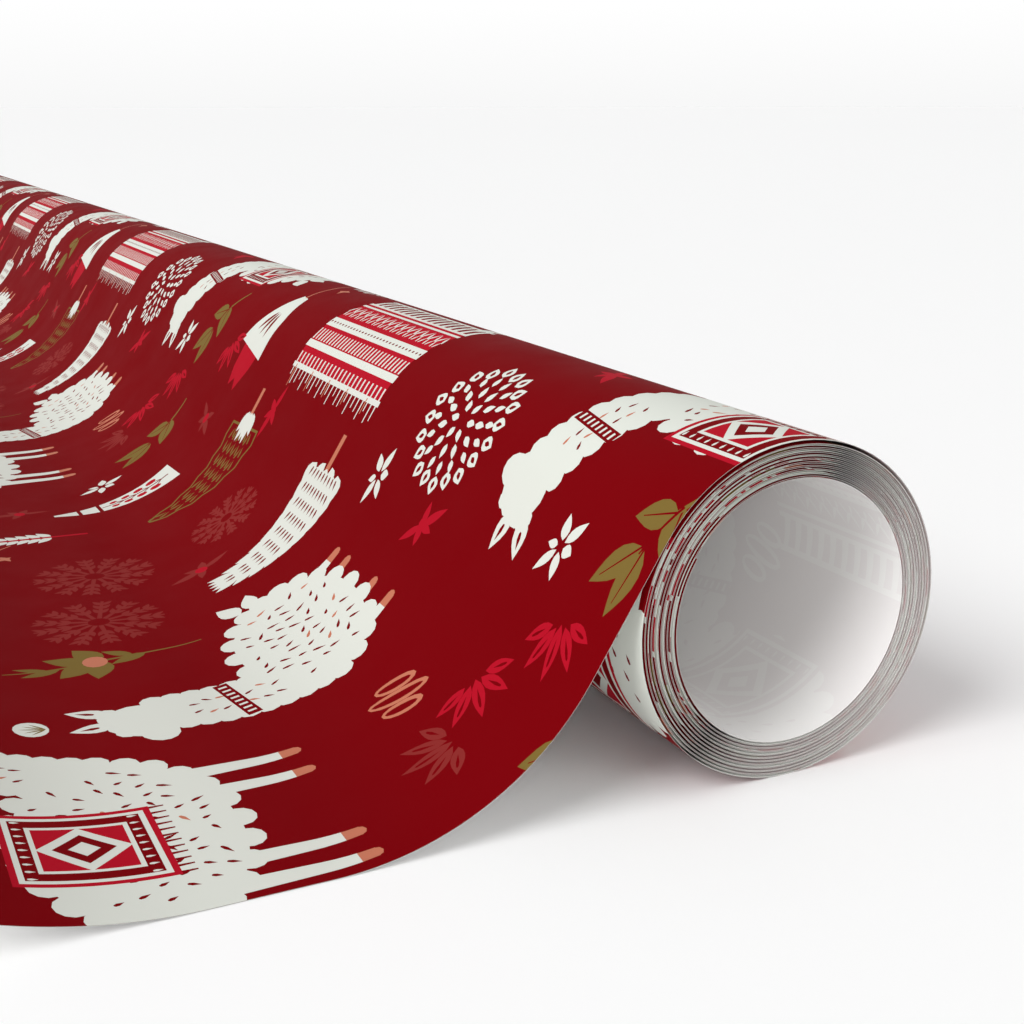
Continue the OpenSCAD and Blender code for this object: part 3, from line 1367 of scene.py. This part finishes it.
@dataclass
class WoundTurn:
    """One wound turn inside the roll. The air on it is left open, so its print shows at the roll's ends.

    Attributes:
        name: the piece's name.
        stock: what it is cut from.
        inner: radius of its printed face at its start.
        out: how much further out its end is.
        end: value of s at its outer end, in metres.
        flats: how many flats it has round the roll.
    """

    name: str
    stock: Stock
    inner: float
    out: float
    end: float
    flats: int = 176

    def build(self, near: EdgeInks, far: EdgeInks) -> bpy.types.Object:
        """Make the turn.

        Args:
            near, far: the print along the two ends of the roll.

        Returns:
            The finished piece.
        """
        solid = Solid(self.name, self.stock)
        near_x, paper = self.stock.near_x, self.stock.paper
        far_x = near_x - self.stock.width
        section = (
            (near_x, 0.0), (near_x - RIM, 0.0), (far_x + RIM, 0.0),
            (far_x, 0.0), (far_x, paper), (near_x, paper),
        )
        sides = len(section)
        length = self.stock.path.turn_length(self.inner, self.out)
        ways = []
        for i in range(self.flats + 1):
            at, way = self.stock.path.turn(self.inner, self.out, length * (1 - i / self.flats))
            ways.append(Vector((0, way.x, way.y)))
            for x, under in section:
                solid.points.append(Vector((x, at.x - way.x * under, at.y - way.y * under)))
        for i in range(self.flats):
            s = (self.end - length * (1 - (i + 0.5) / self.flats)) / MM
            inks = (near.at(s), Ink.CRIMSON, far.at(s), Ink.EDGE, Ink.BACK, Ink.EDGE)
            front = [ways[i], ways[i], ways[i + 1], ways[i + 1]]
            normals = (front, front, front, None, [-way for way in front], None)
            for side, (ink, leans) in enumerate(zip(inks, normals)):
                row, turn = sides * i + side, sides * i + (side + 1) % sides
                solid.add_face((row, turn, turn + sides, row + sides), ink, leans)
        last = sides * self.flats
        solid.add_face(tuple(reversed(range(sides))), Ink.EDGE)
        solid.add_face(tuple(range(last, last + sides)), Ink.EDGE)
        return solid.finished()


# ------------------------------------------------------------ sub-assemblies


@dataclass
class DrawnSheet:
    """The outer lap and the sheet drawn off it, which falls, lies flat and curls up at its free edge.

    Attributes:
        stock: what it is cut from.
        tail_s: where the sheet is divided, just before the hinge line of the free edge.
        edge_s: where it ends.
        soft: not used; meant as how far from the first hinge line the sheet bends, on each side.
    """

    stock: Stock
    tail_s: float
    edge_s: float
    soft: float = 10 * MM

    def build(self) -> list[bpy.types.Object]:
        """Make the three pieces, hang the outer wrap on the sheet's body and hide the CAD parts that they
        stand for.
        """
        path, width = self.stock.path, self.stock.width
        lap = path.turn_length(path.axis_z, path.pitch)
        wrap = PrintedSheet("outer_wrap", self.stock, -lap, 0.0).build()
        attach(wrap, "sheet")
        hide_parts("outer_lap")
        sheet = PrintedSheet("drawn_sheet", self.stock, 0.0, self.tail_s).build()
        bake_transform(sheet)
        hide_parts("drape", "laid_strip", "tail")
        edge = PrintedSheet("free_edge", self.stock, self.tail_s, self.edge_s).build()
        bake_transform(edge)
        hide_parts("leading_edge")
        return [wrap, sheet, edge]


@dataclass
class Coil:
    """The wound turns inside the outer lap, which lie in bundles with air between them.

    Attributes:
        stock: what they are cut from.
        bore: radius of the open bore.
        turns: how many turns there are.
        steps: how far out each turn steps, over and over; the widest opens the air between two bundles.
        inset: how far in from the roll's ends the print of the turns is read, in mm.
    """

    stock: Stock
    bore: float
    turns: int
    steps: tuple[float, ...] = (0.32 * MM, 0.12 * MM)
    inset: float = 0.15

    def build(self) -> list[bpy.types.Object]:
        """Make the turns from the outermost in, so that the print runs on from one to the next."""
        path, art, width = self.stock.path, self.stock.art, self.stock.width
        near, far = art.edge_inks(self.inset), art.edge_inks(width / MM - self.inset)
        faces = [self.bore + self.stock.paper]
        for i in range(self.turns - 1):
            faces.append(faces[-1] + self.steps[i % len(self.steps)])
        faces.append(faces[-1])
        end = -path.turn_length(path.axis_z, path.pitch)
        pieces = []
        for number in range(self.turns, 0, -1):
            inner, out = faces[number - 1], faces[number] - faces[number - 1]
            length = path.turn_length(inner, out)
            name = f"coil_turn_{number:02d}"
            if number == 1:
                turn = BoreTurn(name, self.stock, end - length, end, 1.5 * MM,
                                inner=inner, out=out, end=end, near=near, far=far).build()
            else:
                turn = WoundTurn(name, self.stock, inner, out, end).build(near, far)
            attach(turn, "coil")
            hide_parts(f"turn_{number:02d}")
            pieces.append(turn)
            end -= length
        return pieces


# ------------------------------------------------------------------- stage


@dataclass(frozen=True)
class Studio:
    """The pale floor, the soft lights and the camera.

    Attributes:
        camera_at: where the camera is.
        heading, pitch: the way it looks, in degrees: from -X towards +Y, and down.
        lens: its focal length in mm.
        room: strength of the white room.
        key, end, fill: strength of the main lamp, the lamp on the roll's end and the side lamp.
        horizon: brightness of the wall where it meets the floor.
    """

    camera_at: tuple[float, float, float] = (0.5194, -0.0552, 0.0826)
    heading: float = 25.97
    pitch: float = 15.62
    lens: float = 51.41
    room: float = 0.5
    key: float = 2.1
    end: float = 0.75
    fill: float = 1.1
    horizon: float = 0.937

    def floor(self) -> bpy.types.Object:
        """Lay the floor."""
        bpy.ops.object.select_all(action="DESELECT")
        bpy.ops.mesh.primitive_plane_add(size=60, location=(0, 0, 0))
        floor = bpy.context.object
        floor.name = "floor"
        material = bpy.data.materials.new("studio_floor")
        material.use_nodes = True
        nodes, links = material.node_tree.nodes, material.node_tree.links
        shader = nodes["Principled BSDF"]
        shader.inputs["Specular IOR Level"].default_value = 0.2
        kinds = ("ShaderNodeTexCoord", "ShaderNodeTexNoise", "ShaderNodeMapRange")
        place, noise, ramp = (nodes.new(kind) for kind in kinds)
        noise.inputs["Scale"].default_value = 30.0
        ramp.inputs["To Min"].default_value = 0.55
        ramp.inputs["To Max"].default_value = 0.65
        links.new(place.outputs["Object"], noise.inputs["Vector"])
        links.new(noise.outputs["Fac"], ramp.inputs["Value"])
        links.new(ramp.outputs["Result"], shader.inputs["Roughness"])
        shader.inputs["Base Color"].default_value = (0.955, 0.955, 0.955, 1)
        floor.data.materials.append(material)
        return floor

    def sun(self, name: str, way: tuple[float, float, float], spread: float, strength: float) -> None:
        """Hang a far lamp that lights the whole floor evenly.

        Args:
            name: its name.
            way: the way its light goes.
            spread: how wide it looks from the roll, in degrees, which softens its shadows.
            strength: in watts per square metre.
        """
        light = bpy.data.lights.new(name, "SUN")
        light.angle, light.energy = math.radians(spread), strength
        lamp = bpy.data.objects.new(name, light)
        lamp.rotation_euler = Vector(way).to_track_quat("-Z", "Y").to_euler()
        bpy.context.scene.collection.objects.link(lamp)

    def lights(self) -> None:
        """Light the scene: a white room, a large far lamp, one on the roll's end and one from the side."""
        world = bpy.data.worlds.new("studio")
        world.use_nodes = True
        nodes, links = world.node_tree.nodes, world.node_tree.links
        room, wall = nodes["Background"], nodes.new("ShaderNodeBackground")
        room.inputs["Color"].default_value = (1, 1, 1, 1)
        room.inputs["Strength"].default_value = self.room
        wall.inputs["Color"].default_value = (1, 1, 1, 1)
        seen, mix = nodes.new("ShaderNodeLightPath"), nodes.new("ShaderNodeMixShader")
        kinds = ("ShaderNodeTexCoord", "ShaderNodeSeparateXYZ", "ShaderNodeMapRange")
        place, split, rise = (nodes.new(kind) for kind in kinds)
        rise.inputs["From Max"].default_value = 0.06
        rise.inputs["To Min"].default_value = self.horizon
        links.new(place.outputs["Generated"], split.inputs[0])
        links.new(split.outputs["Z"], rise.inputs["Value"])
        links.new(rise.outputs["Result"], wall.inputs["Strength"])
        links.new(seen.outputs["Is Camera Ray"], mix.inputs["Fac"])
        links.new(room.outputs[0], mix.inputs[1])
        links.new(wall.outputs[0], mix.inputs[2])
        links.new(mix.outputs[0], nodes["World Output"].inputs["Surface"])
        bpy.context.scene.world = world
        self.sun("key", (-0.17, 0.76, -0.65), 34.0, self.key)
        self.sun("end_light", (-0.87, 0.42, -0.27), 16.0, self.end)
        self.sun("side_fill", (-0.8, -0.55, -0.12), 25.0, self.fill)
        bpy.context.scene.view_settings.view_transform = "Standard"

    def camera(self) -> None:
        """Set up the camera."""
        data = bpy.data.cameras.new("camera")
        data.lens, data.sensor_width, data.clip_start = self.lens, 36.0, 0.01
        camera = bpy.data.objects.new("camera", data)
        heading, pitch = math.radians(self.heading), math.radians(self.pitch)
        flat = math.cos(pitch)
        look = Vector((-math.cos(heading) * flat, math.sin(heading) * flat, -math.sin(pitch)))
        camera.location = self.camera_at
        camera.rotation_euler = look.to_track_quat("-Z", "Y").to_euler()
        bpy.context.scene.collection.objects.link(camera)
        bpy.context.scene.camera = camera


def report(pieces: list[bpy.types.Object]) -> None:
    """Log the name and size of each piece."""
    for piece in pieces:
        log.info("%s: %d faces, %d inks", piece.name, len(piece.data.polygons), len(piece.data.materials))


def main() -> None:
    """Build the roll, its stage and its camera."""
    logging.basicConfig(level=logging.INFO, format="%(name)s %(message)s")
    mounts = {mount["name"]: mount for mount in frame["record"]["mounts"]}
    axis, bore = mounts["rod_bore"]["pos_m"], mounts["rod_bore"]["dims"]["r_mm"] * MM
    strip_low, strip_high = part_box("laid_strip")
    lap_low, lap_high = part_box("outer_lap")
    path = WebPath(axis[1], axis[2], strip_high.y, strip_low.y, strip_high.z)
    grain = PaperGrain()
    materials = {ink: FINISHES[ink].made(ink.value, grain) for ink in Ink}
    stock = Stock(Artwork(), path, materials, lap_high.x, lap_high.x - lap_low.x)
    _, _, flat_end, _ = path.stops()
    tail_s, edge_s = (flat_end + (path.curl - path.paper) * math.radians(a) for a in (DIVIDE, FREE_CURL))
    report(DrawnSheet(stock, tail_s, edge_s).build())
    turns = [name for name in frame["nodes"] if name.startswith("turn_")]
    report(Coil(stock, bore, len(turns)).build())
    studio = Studio()
    studio.floor()
    studio.lights()
    studio.camera()


if __name__ == "__main__":
    main()
